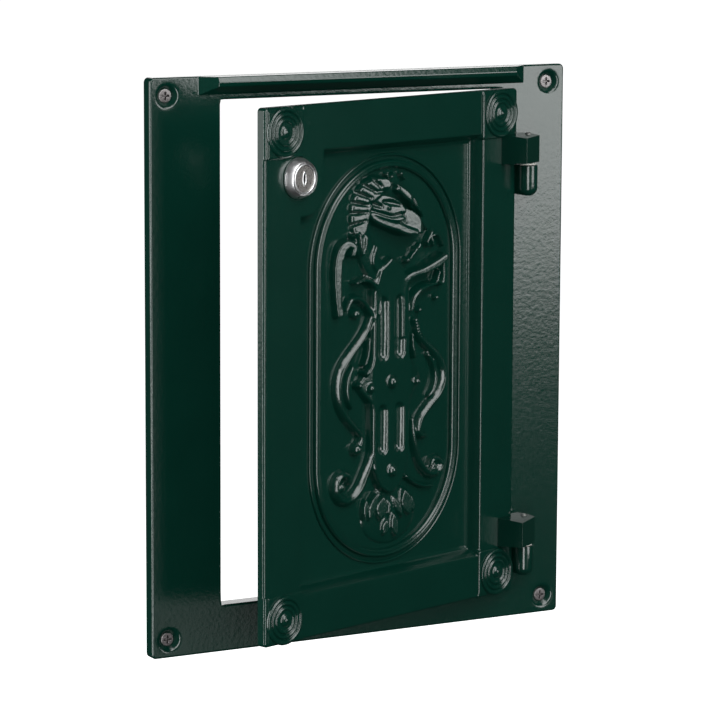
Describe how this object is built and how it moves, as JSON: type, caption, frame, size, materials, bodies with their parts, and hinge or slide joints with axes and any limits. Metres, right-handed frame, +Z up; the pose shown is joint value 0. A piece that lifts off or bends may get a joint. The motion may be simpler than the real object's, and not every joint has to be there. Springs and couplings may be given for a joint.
{
  "type": "wall letter box front",
  "caption": "Cast letter box front: wall frame with drip hood and open mouth, relief door hinged on two pins at the right, and a cam lock.",
  "frame": {"origin": "middle of the frame's outline, on the face of the wall, which is the back of the plate", "axes": "+X to the right as one faces the letter box, +Y into the wall, +Z up"},
  "size_m": [0.283, 0.1, 0.345],
  "materials": {
    "powder_coat": "dark moss green gloss powder coat on cast aluminium",
    "zinc_steel": "zinc plated",
    "nylon": "white nylon",
    "chrome_plate": "bright chrome plate on die cast zinc",
    "satin_nickel": "satin nickel plate",
    "brass": "stamped brass",
    "spring_steel": "drawn spring wire"
  },
  "bodies": {
    "frame": {"frame_casting": "powder_coat", "wall_screw_upper_left": "zinc_steel", "wall_screw_upper_right": "zinc_steel", "wall_screw_lower_left": "zinc_steel", "wall_screw_lower_right": "zinc_steel", "hinge_pin_upper": "zinc_steel", "hinge_pin_lower": "zinc_steel", "hinge_washer_upper": "nylon", "hinge_washer_lower": "nylon"},
    "door": {"door_casting": "powder_coat", "lock_housing": "chrome_plate", "lock_washer": "zinc_steel", "lock_nut": "zinc_steel"},
    "lock_barrel": {"lock_plug": "satin_nickel", "lock_cam": "zinc_steel", "cam_washer": "zinc_steel", "cam_screw": "zinc_steel", "lock_wafer_1": "brass", "lock_wafer_2": "brass", "lock_wafer_3": "brass", "lock_wafer_4": "brass", "lock_wafer_5": "brass", "wafer_spring_1": "spring_steel", "wafer_spring_2": "spring_steel", "wafer_spring_3": "spring_steel", "wafer_spring_4": "spring_steel", "wafer_spring_5": "spring_steel"}
  },
  "joints": [
    {"name": "door_hinge", "type": "hinge", "parent": "frame", "child": "door", "pos_m": [0.1092, -0.019, 0], "axis": [0, 0, 1], "range_deg": [-17.6, 150.4]},
    {"name": "lock_turn", "type": "hinge", "parent": "door", "child": "lock_barrel", "pos_m": [-0.07938, -0.07405, 0.1177], "axis": [0.3024, -0.9532, 0], "range_deg": [-90, 0]}
  ]
}
